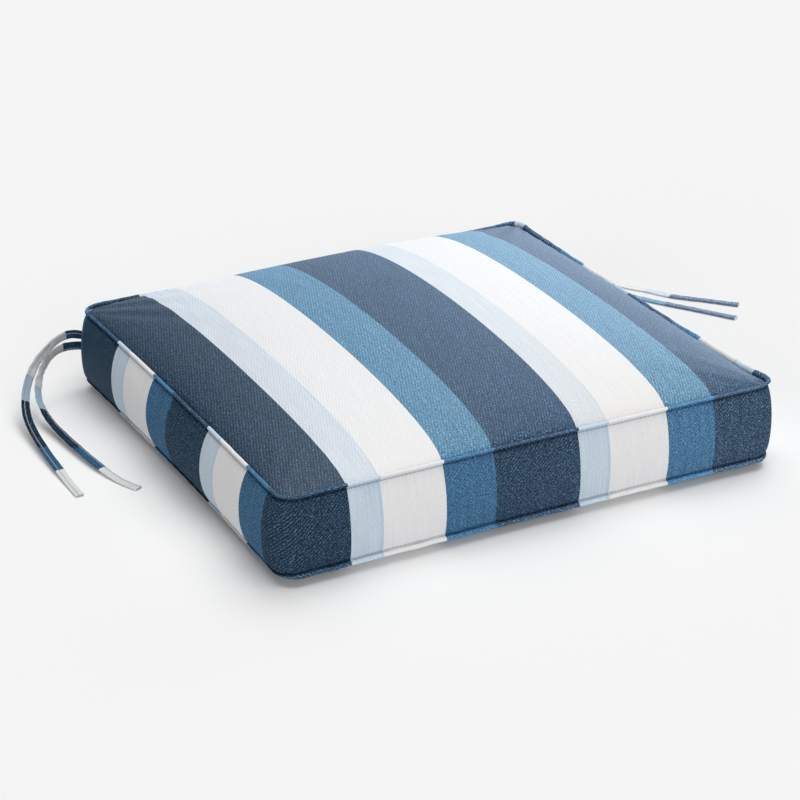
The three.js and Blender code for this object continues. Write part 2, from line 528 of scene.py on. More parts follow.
@dataclass(frozen=True)
class StripedCanvas:
    """Outdoor canvas woven in stripes.

    The UV map "cloth" gives the place across and along the stripes, and the map "seam" the
    distance from the nearest seam and the place along it, all in metres. The first stripe
    starts at the place across that start gives. Each stripe's colour goes from its first to
    its second over a given stretch across the stripes: a painted ramp of light and shade,
    lighter towards the right of the panel and the band, darker towards the roots of the left ties.
    """

    name: str
    stripes: tuple[Stripe, ...]
    start: float = -0.0446
    painted_light_ramp: Pair = (-0.22, 0.05)
    gloss: float = 0.06
    roughness: float = 0.6
    relief_height: float = 0.0004
    relief_strength: float = 0.5
    weave: Weave = Weave()
    sewing: Sewing = Sewing()

    def build(self) -> bpy.types.Material:
        """Makes the cloth's material."""
        board = Board(self.name)
        across, along, _ = board.parts(board.signal("ShaderNodeUVMap", {"uv_map": CLOTH_MAP}))
        share = self._repeat_share(across + self.weave.wander(board, along))
        # Painted light and shade: each stripe's colour ramps from a first to a second across the
        # cloth
        ramp_start_colour = self._by_stripe(board, share, [stripe.ramp_start_colour for stripe in self.stripes])
        ramp_end_colour = self._by_stripe(board, share, [stripe.ramp_end_colour for stripe in self.stripes])
        colour = board.blend(across.step(*self.painted_light_ramp), ramp_start_colour, ramp_end_colour)
        greys = [(stripe.heather,) * 3 + (1.0,) for stripe in self.stripes]
        heather = self._by_stripe(board, share, greys)
        uneven, relief = self.weave.grains(board, across, along)
        colour = self.weave.dye(board, colour, heather, uneven, (across, along))
        colour, relief = self.sewing.sew(board, colour, heather, relief)
        bumps = {
            "Strength": self.relief_strength,
            "Distance": self.relief_height,
            "Height": relief,
        }
        return board.finish(
            {
                "Base Color": colour,
                "Roughness": self.roughness,
                "Specular IOR Level": self.gloss,
                "Normal": board.signal("ShaderNodeBump", None, bumps),
            }
        )

    @property
    def repeat(self) -> float:
        """The width of one repeat of the stripes."""
        return sum(stripe.width for stripe in self.stripes)

    def _repeat_share(self, across: Signal) -> Signal:
        """Gives how far into the repeat a place across the cloth is, from 0 to 1."""
        return ((across - self.start) / self.repeat).maths("FRACT")

    def _by_stripe(self, board: Board, share: Signal, colours: Sequence[Colour]) -> Signal:
        """Picks one colour of a list by the stripe that a share of the repeat is in."""
        stops = []
        reached = 0.0
        for stripe, colour in zip(self.stripes, colours):
            stops.append((reached / self.repeat, colour))
            reached += stripe.width
        return board.signal("ShaderNodeValToRGB", {"stops": stops}, {0: share})


# Painted light: the panel's light and mid blues are lighter than the band's, for the light on the
# top, and all its stripes ramp lighter towards the right
PANEL_CANVAS = StripedCanvas(
    name="panel_canvas",
    gloss=0.42,
    roughness=0.65,
    weave=Weave(twill_slope=2.7),
    sewing=Sewing(crease_shade=0.0022),
    stripes=awning(
        navy=(linear(37, 59, 80), linear(48, 77, 105)),
        light_blue=(linear(205, 213, 221), linear(212, 217, 221)),
        white=(linear(227, 227, 227), linear(229, 227, 226)),
        mid_blue=(linear(73, 121, 153), linear(97, 141, 168)),
        edge_tint=(0.97, 0.98, 1.0, 1.0),
    ),
)
# Painted light: the band's stripes ramp lighter towards the right
BAND_CANVAS = StripedCanvas(
    name="band_canvas",
    painted_light_ramp=(-0.26, 0.24),
    gloss=0.02,
    sewing=Sewing(crease_shade=0.0044, stitched_at=0.0026),
    stripes=awning(
        navy=(linear(39, 60, 79), linear(59, 79, 101)),
        light_blue=(linear(193, 207, 219), linear(196, 210, 222)),
        white=(linear(226, 226, 227), linear(229, 229, 230)),
        mid_blue=(linear(62, 101, 133), linear(77, 118, 153)),
    ),
)
# The welt cloth gets painted shade low on its ridge and a painted highlight along its top
WELT_CANVAS = replace(
    BAND_CANVAS, name="welt_canvas", sewing=Sewing(crease_shade=0.0022, crest_highlight=0.0048)
)
# Painted shade: the left ties are a darker copy of the band cloth, and darker still towards their
# roots
LEFT_TIE_CANVAS = replace(
    BAND_CANVAS,
    name="left_tie_canvas",
    painted_light_ramp=(0.16, 0.28),
    gloss=0.0,
    sewing=Sewing(stitched_at=0.0, thread_and_dimple_shade=linear(150, 160, 172), stitch_mark_way=Blend.COVER),
    stripes=awning(
        navy=(linear(30, 46, 64), linear(24, 38, 54)),
        light_blue=(linear(154, 173, 190), linear(140, 159, 176)),
        white=(linear(212, 213, 213), linear(178, 178, 179)),
        mid_blue=(linear(48, 84, 114), linear(36, 60, 84)),
    ),
)
# Painted light: the right ties are a lighter copy of the panel cloth
RIGHT_TIE_CANVAS = replace(
    PANEL_CANVAS,
    name="right_tie_canvas",
    sewing=Sewing(stitched_at=0.0, thread_and_dimple_shade=linear(170, 184, 205), stitch_mark_way=Blend.COVER),
    stripes=awning(
        navy=(linear(84, 106, 134),) * 2,
        light_blue=(linear(214, 224, 232),) * 2,
        white=(linear(232, 232, 232),) * 2,
        mid_blue=(linear(106, 152, 182),) * 2,
    ),
)


@dataclass(frozen=True)
class PaleFloor:
    """The plain studio floor."""

    colour: Colour = linear(233, 233, 233)
    glow: float = 0.071

    def build(self) -> bpy.types.Material:
        """Makes the floor's material."""
        return Board("pale_floor").finish(
            {
                "Base Color": self.colour,
                "Roughness": 1.0,
                "Specular IOR Level": 0.0,
                "Emission Color": WHITE,
                "Emission Strength": self.glow,
            }
        )


# The filled shell


@dataclass(frozen=True)
class Seam:
    """The outline at a seam, between its corners' tangents, and its height."""

    width: float
    depth: float
    height: float


@dataclass(frozen=True)
class Ear:
    """How far the filling pushes one corner of the top seam out and up."""

    x: int
    y: int
    out: float
    lift: float


class Side(Enum):
    """The sides of the cushion, named as its owner sees them from in front."""

    FRONT = (0, -1)
    RIGHT = (1, 0)
    BACK = (0, 1)
    LEFT = (-1, 0)


@dataclass(frozen=True)
class ShellForm:
    """The form of the filled shell, with every place on it in units from -1 to 1.

    The crown rises 1.3 mm less than the CAD solid's, because the stuffing presses it out.
    """

    top: Seam = Seam(0.504, 0.512, 0.086)
    low: Seam = Seam(0.514, 0.516, 0.012)
    corner_radius: float = 0.017
    draw_in: float = 0.003
    bulge_at_sides: float = 0.009
    bulge_at_front: float = 0.005
    band_fullness: float = 0.5
    corner_bulge_loss: float = 0.4
    corner_bulge_power: int = 24
    crown_rise: float = 0.0392
    crown_fullness: float = 0.51
    crown_lean_right: float = 0.14
    crown_lean_back: float = 0.09
    underside_drop: float = 0.030
    ears: tuple[Ear, ...] = (
        Ear(1, -1, 0.005, 0.003),
        Ear(1, 1, 0.005, 0.0),
        Ear(-1, 1, 0.0, -0.0015),
    )
    ear_power: int = 14

    def place(self, x: float, y: float) -> tuple[float, float]:
        """Rounds the panel's corners.

        Args:
            x: Place across the panel, from -1 to 1.
            y: Place along the panel, from -1 to 1.

        Returns:
            The rounded place.
        """
        start = 1 - 2 * self.corner_radius / self.top.width
        over_x, over_y = abs(x) - start, abs(y) - start
        if over_x <= 0 or over_y <= 0:
            return x, y
        pull = max(over_x, over_y) / math.hypot(over_x, over_y)
        return (
            math.copysign(start + over_x * pull, x),
            math.copysign(start + over_y * pull, y),
        )

    def normal(self, x: float, y: float) -> Vector:
        """Gives the outward direction in plan at a point of the rim."""
        px, py = self.place(x, y)
        start = 1 - 2 * self.corner_radius / self.top.width
        out = Vector(
            (
                math.copysign(max(abs(px) - start, 0.0), px),
                math.copysign(max(abs(py) - start, 0.0), py),
                0.0,
            )
        )
        return out.normalized()

    def flat_point(self, x: float, y: float, seam: Seam) -> Vector:
        """Gives a panel's point as it lies flat at its seam's height."""
        px, py = self.place(x, y)
        return Vector(
            (
                px * (seam.width / 2 - self.draw_in * (1 - py * py)),
                py * (seam.depth / 2 - self.draw_in * (1 - px * px)),
                seam.height,
            )
        )

    def cornerness(self, x: float, y: float, power: float) -> float:
        """Gives 1 at a corner and near 0 away from it."""
        px, py = self.place(x, y)
        return min(abs(px), abs(py)) ** power

    def ear_shift(self, x: float, y: float) -> Vector:
        """Gives what the nearest corner's ear adds to a point."""
        for ear in self.ears:
            if ear.x * x > 0 and ear.y * y > 0:
                share = self.cornerness(x, y, self.ear_power)
                return Vector((ear.x * ear.out, ear.y * ear.out, ear.lift)) * share
        return Vector()

    def fullness(self, x: float, y: float) -> float:
        """Gives 1 in the middle of a panel and 0 along its seam."""
        return max((1 - x * x) * (1 - y * y), 0.0) ** self.crown_fullness

    def top_point(self, x: float, y: float) -> Vector:
        """Gives a point of the crowned top."""
        point = self.flat_point(x, y, self.top) + self.ear_shift(x, y)
        lean = 1 + self.crown_lean_right * x + self.crown_lean_back * y
        point.z += self.crown_rise * lean * self.fullness(x, y)
        return point

    def underside_point(self, x: float, y: float) -> Vector:
        """Gives a point of the underside, flat where it rests."""
        point = self.flat_point(x, y, self.low)
        point.z = max(point.z - self.underside_drop * self.fullness(x, y), 0.0)
        return point

    def band_point(self, x: float, y: float, height: float) -> Vector:
        """Gives a point of the band.

        Args:
            x: Place of the rim point, from -1 to 1.
            y: The same along the other axis.
            height: -1 at the low seam and 1 at the top seam.

        Returns:
            The point.
        """
        top = self.flat_point(x, y, self.top) + self.ear_shift(x, y)
        point = self.flat_point(x, y, self.low).lerp(top, (1 + height) / 2)
        out = self.normal(x, y)
        most = self.bulge_at_sides * out.x**2 + self.bulge_at_front * out.y**2
        kept = 1 - self.corner_bulge_loss * self.cornerness(x, y, self.corner_bulge_power)
        rise = max(math.cos(math.pi / 2 * height), 0.0) ** self.band_fullness
        return point + out * most * kept * rise


@dataclass(frozen=True)
class BandCut:
    """How the band's stripes run on from side to side.

    The band is one strip from the back-left corner over the front to the back-right one.
    left_offset and right_offset are the places across the stripes halfway along those sides.
    """

    left_offset: float = -0.5077
    right_offset: float = 0.5047
    corner_radius: float = 0.020

    def across(self, side: Side, point: Vector, out: Vector) -> float:
        """Gives the place across the stripes at a point of the band.

        Args:
            side: The side that the point is on.
            point: The point.
            out: The outward direction in plan there.

        Returns:
            The place across the stripes, in metres.
        """
        if side is Side.BACK:
            return point.x
        middle = point - out * self.corner_radius
        turned = 1.0 if out.y > 0 else math.atan2(abs(out.x), -out.y) / (math.pi / 2)
        front = middle.x if 0 < turned < 1 else point.x
        y = middle.y if 0 < turned < 1 else point.y
        edge = self.left_offset - y if point.x < 0 else self.right_offset + y
        return front + (edge - front) * turned


def evened(place: float) -> float:
    """Spreads even steps from -1 to 1 so that they are closer beside the seams."""
    return (place + math.sin(math.pi / 2 * place)) / 2


def add_object(
    name: str, mesh: bmesh.types.BMesh, materials: Sequence[bpy.types.Material]
) -> bpy.types.Object:
    """Makes an object of a finished mesh.

    Args:
        name: The piece's name.
        mesh: Its mesh, which is freed.
        materials: Its materials, in slot order.

    Returns:
        The object, smooth shaded.
    """
    data = bpy.data.meshes.new(name)
    mesh.to_mesh(data)
    mesh.free()
    for material in materials:
        data.materials.append(material)
    data.polygons.foreach_set("use_smooth", [True] * len(data.polygons))
    piece = bpy.data.objects.new(name, data)
    bpy.context.scene.collection.objects.link(piece)
    return piece


def swept(
    stations: int,
    around: int,
    point: Callable[[float, float], Vector],
    maps: Callable[[float, float, float], tuple[Pair, Pair]],
) -> bmesh.types.BMesh:
    """Shapes a grid into a surface that runs along a line.

    Args:
        stations: Cells along the line.
        around: Cells round its section.
        point: Gives a point for its shares of the way along the line and round the section.
        maps: Gives the cloth map and the seam map for those two shares, and for the share
            along the line at the middle of the cell that they are laid in.

    Returns:
        The mesh, closed where its sides meet.
    """
    mesh = bmesh.new()
    bmesh.ops.create_grid(mesh, x_segments=stations, y_segments=around, size=1.0)
    cloth_map = mesh.loops.layers.uv.new(CLOTH_MAP)
    seam_map = mesh.loops.layers.uv.new(SEAM_MAP)
    shares = {vert: ((vert.co.x + 1) / 2, (vert.co.y + 1) / 2) for vert in mesh.verts}
    for face in mesh.faces:
        middle = (face.calc_center_median().x + 1) / 2
        for loop in face.loops:
            loop[cloth_map].uv, loop[seam_map].uv = maps(*shares[loop.vert], middle)
    for vert, (along, turn) in shares.items():
        vert.co = point(along, turn)
    bmesh.ops.remove_doubles(mesh, verts=mesh.verts, dist=SAME_PLACE)
    return mesh


@dataclass(frozen=True)
class Stuffing:
    """How Blender's Cloth presses the shell out, and how far it may move a point."""

    frames: int = 20
    quality: int = 5
    pressure: float = 4.0
    mass: float = 0.3
    stretch_stiffness: float = 40.0
    shear_stiffness: float = 20.0
    bending_stiffness: float = 0.5
    damping: float = 25.0
    air_damping: float = 5.0
    most_move: float = 0.003

    def set(self, cloth: bpy.types.ClothSettings) -> None:
        """Gives the Cloth modifier these sizes."""
        cloth.quality = self.quality
        cloth.mass = self.mass
        cloth.tension_stiffness = cloth.compression_stiffness = self.stretch_stiffness
        cloth.shear_stiffness = self.shear_stiffness
        cloth.bending_stiffness = self.bending_stiffness
        cloth.tension_damping = cloth.compression_damping = self.damping
        cloth.shear_damping = self.damping
        cloth.air_damping = self.air_damping
        cloth.use_pressure = True
        cloth.uniform_pressure_force = self.pressure
        cloth.effector_weights.gravity = 0.0


@dataclass(frozen=True)
class Tucks:
    """The small tucks that the stitches gather the cloth into, across a seam.

    They rise and fade over two stretches from the seam, and differ with the height.
    """

    height: float = 0.0009
    width: float = 0.0075
    length: float = 0.05
    rising: Pair = (0.0, 0.004)
    fading: Pair = (0.005, 0.026)
    change_with_height: float = 3.0

    def rise(self, from_seam: float, beside: float, z: float) -> float:
        """Gives how far the cloth is lifted.

        Args:
            from_seam: Distance from the nearest seam.
            beside: Place along that seam.
            z: The height of the point.

        Returns:
            The lift, in metres.
        """
        share = smooth_step(from_seam, *self.rising) * (1 - smooth_step(from_seam, *self.fading))
        spot = Vector((beside / self.width, from_seam / self.length, self.change_with_height * z))
        return noise.noise(spot) * self.height * share


@dataclass
class Shell:
    """The filled shell: top panel, band and underside, sewn and stuffed."""

    form: ShellForm = field(default_factory=ShellForm)
    cut: BandCut = field(default_factory=BandCut)
    stuffing: Stuffing = Stuffing()
    tucks: Tucks = Tucks()
    fill: float = 0.8
    panel_cells: int = 88
    band_cells: int = 14
    resting_below: float = 0.0005

    def build(self) -> bpy.types.Object:
        """Makes the shell and gives the piece."""
        mesh = bmesh.new()
        bmesh.ops.create_cube(mesh, size=2.0)
        upright = [edge for edge in mesh.edges if self._climb(edge) > 1]
        bmesh.ops.subdivide_edges(mesh, edges=upright, cuts=self.band_cells - 1, use_grid_fill=True)
        level = [edge for edge in mesh.edges if self._climb(edge) < SAME_PLACE]
        bmesh.ops.subdivide_edges(mesh, edges=level, cuts=self.panel_cells - 1, use_grid_fill=True)
        self._shape(mesh)
        materials = [PANEL_CANVAS.build(), BAND_CANVAS.build()]
        piece = add_object("filled_shell", mesh, materials)
        self._stuff(piece)
        self._refine(piece)
        self._gather(piece.data)
        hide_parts("cushion")
        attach(piece, "root")
        return piece

    @staticmethod
    def _climb(edge: bmesh.types.BMEdge) -> float:
        """Gives the difference in height of an edge's ends."""
        first, second = edge.verts
        return abs(first.co.z - second.co.z)

    def _stuff(self, piece: bpy.types.Object) -> None:
        """Lets Blender's Cloth press the shell out between its seams, and keeps that form.

        The seams and the flat of the underside are held, and the move of every other point
        is eased off towards the stuffing's most_move.
        """
        held = piece.vertex_groups.new(name="held")
        held.add(self._held_points(piece.data), 1.0, "REPLACE")
        press = piece.modifiers.new("stuffing", "CLOTH")
        self.stuffing.set(press.settings)
        press.settings.vertex_group_mass = held.name
        press.collision_settings.use_collision = False
        press.point_cache.frame_end = self.stuffing.frames
        scene = bpy.context.scene
        for number in range(1, self.stuffing.frames + 1):
            scene.frame_set(number)
        pressed = piece.evaluated_get(bpy.context.evaluated_depsgraph_get())
        goals = [vert.co.copy() for vert in pressed.to_mesh().vertices]
        piece.modifiers.remove(press)
        piece.vertex_groups.remove(held)
        scene.frame_set(1)
        most = self.stuffing.most_move
        for vert, goal in zip(piece.data.vertices, goals):
            move = goal - vert.co
            if move.length:
                vert.co += move * (most * math.tanh(move.length / most) / move.length)
            vert.co.z = max(vert.co.z, 0.0)

    def _held_points(self, mesh: bpy.types.Mesh) -> list[int]:
        """Lists the points of the seams and those that rest on the ground."""
        kinds: dict[int, set[int]] = {}
        for face in mesh.polygons:
            for index in face.vertices:
                kinds.setdefault(index, set()).add(face.material_index)
        return [
            index
            for index, kind in kinds.items()
            if len(kind) == 2 or mesh.vertices[index].co.z < self.resting_below
        ]

    @staticmethod
    def _refine(piece: bpy.types.Object) -> None:
        """Subdivides the piece once and keeps the finer mesh."""
        finer = piece.modifiers.new("rounding", "SUBSURF")
        finer.levels = finer.render_levels = 1
        coarse = piece.data
        shaped = piece.evaluated_get(bpy.context.evaluated_depsgraph_get())
        piece.data = bpy.data.meshes.new_from_object(shaped)
        piece.modifiers.clear()
        bpy.data.meshes.remove(coarse)
        piece.data.name = piece.name

    def _gather(self, data: bpy.types.Mesh) -> None:
        """Lifts the cloth in small tucks beside the seams, where the stitches gather it."""
        mesh = bmesh.new()
        mesh.from_mesh(data)
        mesh.normal_update()
        seam_map = mesh.loops.layers.uv[SEAM_MAP]
        moves = {}
        for vert in mesh.verts:
            if len({face.material_index for face in vert.link_faces}) == 2:
                continue
            from_seam, beside = vert.link_loops[0][seam_map].uv
            moves[vert] = vert.normal * self.tucks.rise(from_seam, beside, vert.co.z)
        for vert, move in moves.items():
            vert.co += move
            vert.co.z = max(vert.co.z, 0.0)
        mesh.to_mesh(data)
        mesh.free()

    def _shape(self, mesh: bmesh.types.BMesh) -> None:
        """Moves the cube's vertices into the shell's form and lays the cloth's UV map."""
        cloth_map = mesh.loops.layers.uv.new(CLOTH_MAP)
        seam_map = mesh.loops.layers.uv.new(SEAM_MAP)
        cube = {v: v.co.copy() for v in mesh.verts}
        sides = {face: self._side(face) for face in mesh.faces}
        for vert, co in cube.items():
            vert.co = self._point(co)
        for face, side in sides.items():
            for loop in face.loops:
                place = [evened(part) for part in cube[loop.vert]]
                maps = self._panel_maps(*place) if side is None else self._band_maps(side, *place)
                loop[cloth_map].uv, loop[seam_map].uv = maps
            face.material_index = 0 if side is None else 1

    def _side(self, face: bmesh.types.BMFace) -> Side | None:
        """Names the side that a face of the cube is on, or None for a panel."""
        out = face.calc_center_median()
        if abs(out.z) > 1 - SAME_PLACE:
            return None
        if abs(out.x) > 1 - SAME_PLACE:
            return Side.RIGHT if out.x > 0 else Side.LEFT
        return Side.BACK if out.y > 0 else Side.FRONT

    def _panel_maps(self, x: float, y: float, _: float) -> tuple[Pair, Pair]:
        """Gives the cloth map and the seam map at a place on the top or the underside."""
        flat = self.form.flat_point(x, y, self.form.top)
        gap_x = (1 - abs(x)) * self.form.top.width / 2
        gap_y = (1 - abs(y)) * self.form.top.depth / 2
        nearest = (gap_x, flat.y) if gap_x < gap_y else (gap_y, flat.x)
        return (flat.x, flat.y), nearest

    def _band_maps(self, side: Side, x: float, y: float, height: float) -> tuple[Pair, Pair]:
        """Gives the cloth map and the seam map at a place on the band."""
        top, low = self.form.top.height, self.form.low.height
        point = self.form.band_point(x, y, height)
        across = self.cut.across(side, point, self.form.normal(x, y))
        along = (top + low) / 2 + height * (top - low) / 2
        return (across, along), (min(top - along, along - low), across)

    def _point(self, co: Vector) -> Vector:
        """Gives the shell's point for a point of the cube."""
        x, y = evened(co.x), evened(co.y)
        if max(abs(co.x), abs(co.y)) > 1 - SAME_PLACE:
            return self.form.band_point(x, y, evened(co.z))
        if co.z > 0:
            return self.form.top_point(x, y)
        return self.form.underside_point(x, y)


# The welts


@dataclass
class Welt:
    """The ridge of band cloth that is pinched and stitched along one seam.

    end is 1 at the top seam and -1 at the low one. The ridge leans out at the tilt, and by
    left_turn or right_turn more on those sides, where left_size and right_size scale it. The
    painted highlight along its ridge peaks a little past the outermost point, by crest_turn
    round the section. Each wobble is how many bumps a metre has and how high they are.
    """

    name: str
    node: str
    end: int
    form: ShellForm = field(default_factory=ShellForm)
    cut: BandCut = field(default_factory=BandCut)
    left_turn: float = 0.0
    left_size: float = 1.0
    right_turn: float = 0.0
    right_size: float = 1.0
    crest_turn: float = 0.6
    tilt: float = math.radians(32)
    reach: float = 0.0021
    half_height: float = 0.0026
    half_thickness: float = 0.0018
    wobbles: tuple[Pair, ...] = ((70, 0.0006), (210, 0.0003))
    cloth_start: float = 0.2
    girth: float = 0.014
    cells_a_side: int = 128
    section_cells: int = 12

    def build(self, cloth: bpy.types.Material) -> bpy.types.Object:
        """Makes the welt.

        Args:
            cloth: The cloth that it is pinched from.

        Returns:
            The piece.
        """
        stations = len(Side) * self.cells_a_side
        mesh = swept(stations, self.section_cells, self._point, self._maps)
        bmesh.ops.recalc_face_normals(mesh, faces=mesh.faces)
        piece = add_object(self.name, mesh, [cloth])
        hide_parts(self.node)
        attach(piece, "root")
        return piece

    def _station(self, along: float) -> tuple[Vector, Vector]:
        """Gives the seam's point and outward direction at a share of the way round."""
        place = (along % 1.0) * len(Side)
        side = int(place)
        step = evened(2 * (place - side) - 1)
        x, y = ((step, -1.0), (1.0, step), (-step, 1.0), (-1.0, -step))[side]
        return self.form.band_point(x, y, self.end), self.form.normal(x, y)

    def _maps(self, along: float, turn: float, middle: float) -> tuple[Pair, Pair]:
        """Gives the cloth map, and the height up the ridge with the place across the stripes."""
        side = list(Side)[int(middle * len(Side))]
        across = self.cut.across(side, *self._station(along))
        height = (1 + math.cos(2 * math.pi * turn + self.crest_turn)) * self.half_height
        return (across, self.cloth_start + turn * self.girth), (height, across)

    def _point(self, along: float, turn: float) -> Vector:
        """Gives a point of the welt's surface."""
        seam, out = self._station(along)
        left, right = max(-out.x, 0.0), max(out.x, 0.0)
        tilt = self.tilt + self.left_turn * left + self.right_turn * right
        size = 1 + (self.left_size - 1) * left + (self.right_size - 1) * right
        away = out * math.cos(tilt) + UP * math.sin(tilt) * self.end
        beside = away.cross(out.cross(UP)).normalized()
        angle = 2 * math.pi * turn
        wobble = sum(noise.noise(seam * bumps) * height for bumps, height in self.wobbles)
        middle = seam + away * (self.reach * size + wobble)
        tall = away * math.cos(angle) * self.half_height * size
        return middle + tall + beside * math.sin(angle) * self.half_thickness


WELTS = (
    Welt("top_welt", "welt_top", 1, left_size=0.72, right_turn=math.radians(16), right_size=1.3),
    Welt(
        "bottom_welt",
        "welt_bottom",
        -1,
        left_turn=math.radians(52),
        left_size=0.35,
        right_turn=math.radians(40),
        right_size=0.5,
    ),
)


# The ties


Route = tuple[tuple[float, float, float], ...]


@dataclass
class Tie:
    """A flat tie: a strip of canvas folded twice and stitched along its edge.

    Its route starts at the back corner, straight out, and ends on the floor. Its width
    stands upright at the root and lies flat from flat_from on. stripe_at_tip is the place
    across the stripes at its tip, and stripe_way is 1 where the pattern runs on from there
    and -1 where it runs back. stripe_at_cut is the same place on its cut ends. stitched_at is
    the stitches' place across it, from -1 to 1, where a groove runs. It is creased most near
    the root, and from creased_until on only by the share least_crease. Its tip is swollen.
    """

    name: str
    node: str
    side: int
    flat_from: float
    stripe_at_tip: float
    stripe_way: int
    stitched_at: float
    length: float
    route: Route
    width: float = 0.0095
    thickness: float = 0.0020
    edge_sharpness: int = 6
    groove_depth: float = 0.0005
    groove_width: float = 0.14
    crease_height: float = 0.0022
    crease_width: float = 0.005
    crease_slant: float = 0.6
    crease_change_by_side: float = 3.0
    creased_from: float = 0.02
    creased_until: Pair = (0.06, 0.10)
    least_crease: float = 0.25
    tip_length: float = 0.004
    tip_swell: float = 0.6
    floor_gap: float = 0.0002
    stripe_at_cut: float = 0.055
    cloth_start: float = 0.3
    steps: int = 150
    width_cells: int = 12
    curve_steps: int = 20

    def build(self, cloth: bpy.types.Material) -> bpy.types.Object:
        """Makes the tie.

        Args:
            cloth: The cloth that it is folded from.

        Returns:
            The piece.
        """
        points = self._spaced(self._curve())
        frames = self._frames(points)

        def point(along: float, turn: float) -> Vector:
            """Gives a point of the tie's surface at a share of the way along it."""
            return self._point(points, frames, round(along * self.steps), turn)

        mesh = swept(self.steps, 2 * self.width_cells, point, self._maps)
        self._close(mesh)
        bmesh.ops.recalc_face_normals(mesh, faces=mesh.faces)
        piece = add_object(self.name, mesh, [cloth])
        softer = piece.modifiers.new("rounding", "SUBSURF")
        softer.levels = softer.render_levels = 1
        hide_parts(self.node)
        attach(piece, "root")
        return piece

    def _maps(self, along: float, turn: float, _: float) -> tuple[Pair, Pair]:
        """Gives the cloth map, and the distance from the stitches with the one from the tip."""
        from_tip = (1 - along) * self.length
        across = self.stripe_at_tip + self.stripe_way * from_tip
        offset = (self._section(turn)[0] - self.stitched_at) * self.width / 2
        return (across, self.cloth_start + offset), (abs(offset), from_tip)

    def _close(self, mesh: bmesh.types.BMesh) -> None:
        """Closes the tie's two cut ends."""
        rims = [edge for edge in mesh.edges if edge.is_boundary]
        for face in bmesh.ops.holes_fill(mesh, edges=rims, sides=0)["faces"]:
            for loop in face.loops:
                loop[mesh.loops.layers.uv[CLOTH_MAP]].uv = (self.stripe_at_cut, self.cloth_start)
                loop[mesh.loops.layers.uv[SEAM_MAP]].uv = (self.width, 0.0)

    def _section(self, turn: float) -> tuple[float, float]:
        """Gives a place of the strip's section.

        Args:
            turn: Share of the way round, over the upper face and back under the lower one.

        Returns:
            The place across the width and the height off its middle, both from -1 to 1.
        """
        upper = turn <= 0.5
        beside = 4 * turn - 1 if upper else 3 - 4 * turn
        height = math.sqrt(max(1 - beside**self.edge_sharpness, 0.0))
        return beside, height if upper else -height

    def _point(
        self, points: Sequence[Vector], frames: Sequence[Vector], step: int, turn: float
    ) -> Vector:
        """Gives a point of the tie's surface.

        Args:
            points: The middle line's points.
            frames: The width's direction at each of them.
            step: Which of them the point is at.
            turn: Share of the way round the section.

        Returns:
            The point.
        """
        last = len(points) - 1
        tangent = (points[min(step + 1, last)] - points[max(step - 1, 0)]).normalized()
        up = frames[step].cross(tangent) * -self.side
        beside, height = self._section(turn)
        reached = step / last * self.length
        stitched = math.exp(-(((beside - self.stitched_at) / self.groove_width) ** 2))
        tip = math.exp(-(((self.length - reached) / self.tip_length) ** 2))
        rise = height * (1 + self.tip_swell * tip) * self.thickness / 2
        rise -= math.copysign(stitched, height) * self.groove_depth
        lifted = up * (rise + self._crease(reached, beside))
        point = points[step] + frames[step] * beside * self.width / 2 + lifted
        point.z = max(point.z, self.floor_gap)
        return point

    def _crease(self, reached: float, beside: float) -> float:
        """Gives how far the creases lift a point, by its places along and across the tie."""
        near_root = 1 - smooth_step(reached, *self.creased_until)
        share = self.least_crease + (1 - self.least_crease) * near_root
        spot = Vector(
            (
                reached / self.crease_width,
                beside * self.crease_slant,
                self.crease_change_by_side * self.side,
            )
        )
        held = smooth_step(reached, 0.0, self.creased_from)
        return noise.noise(spot) * self.crease_height * share * held

    def _curve(self) -> list[Vector]:
        """Gives close points on one smooth centripetal curve through the route."""
        knots = [Vector(p) for p in self.route]
        before = knots[0] * 2 - knots[1]
        after = knots[-1] * 2 - knots[-2]
        line = [before, *knots, after]
        curve = []
        for i in range(1, len(line) - 2):
            shares = (step / self.curve_steps for step in range(self.curve_steps))
            curve += [self._between(line[i - 1 : i + 3], share) for share in shares]
        return [*curve, knots[-1]]

    def _between(self, four: Sequence[Vector], share: float) -> Vector:
        """Gives a point of a centripetal curve between the middle two of four knots."""
        times = [0.0]
        for first, second in zip(four, four[1:]):
            times.append(times[-1] + math.sqrt((second - first).length))
        t = times[1] + (times[2] - times[1]) * share
        level = list(four)
        for order in (1, 2, 3):
            level = [
                level[i].lerp(level[i + 1], self._share(t, *self._span(times, order, i)))
                for i in range(len(level) - 1)
            ]
        return level[0]

    @staticmethod
    def _span(times: Sequence[float], order: int, i: int) -> tuple[float, float]:
        """Gives the two knot times that a step of the curve blends between."""
        if order == 1:
            return times[i], times[i + 1]
        if order == 2:
            return times[i], times[i + 2]
        return times[1], times[2]

    @staticmethod
    def _share(t: float, start: float, end: float) -> float:
        """Gives how far t is from start to end."""
        return (t - start) / (end - start)

    def _spaced(self, curve: Sequence[Vector]) -> list[Vector]:
        """Gives points at even steps along a curve."""
        reached = [0.0]
        for first, second in zip(curve, curve[1:]):
            reached.append(reached[-1] + (second - first).length)
        points = []
        i = 0
        for step in range(self.steps + 1):
            goal = reached[-1] * step / self.steps
            while i < len(curve) - 2 and reached[i + 1] < goal:
                i += 1
            share = (goal - reached[i]) / (reached[i + 1] - reached[i])
            points.append(curve[i].lerp(curve[i + 1], min(max(share, 0.0), 1.0)))
        return points

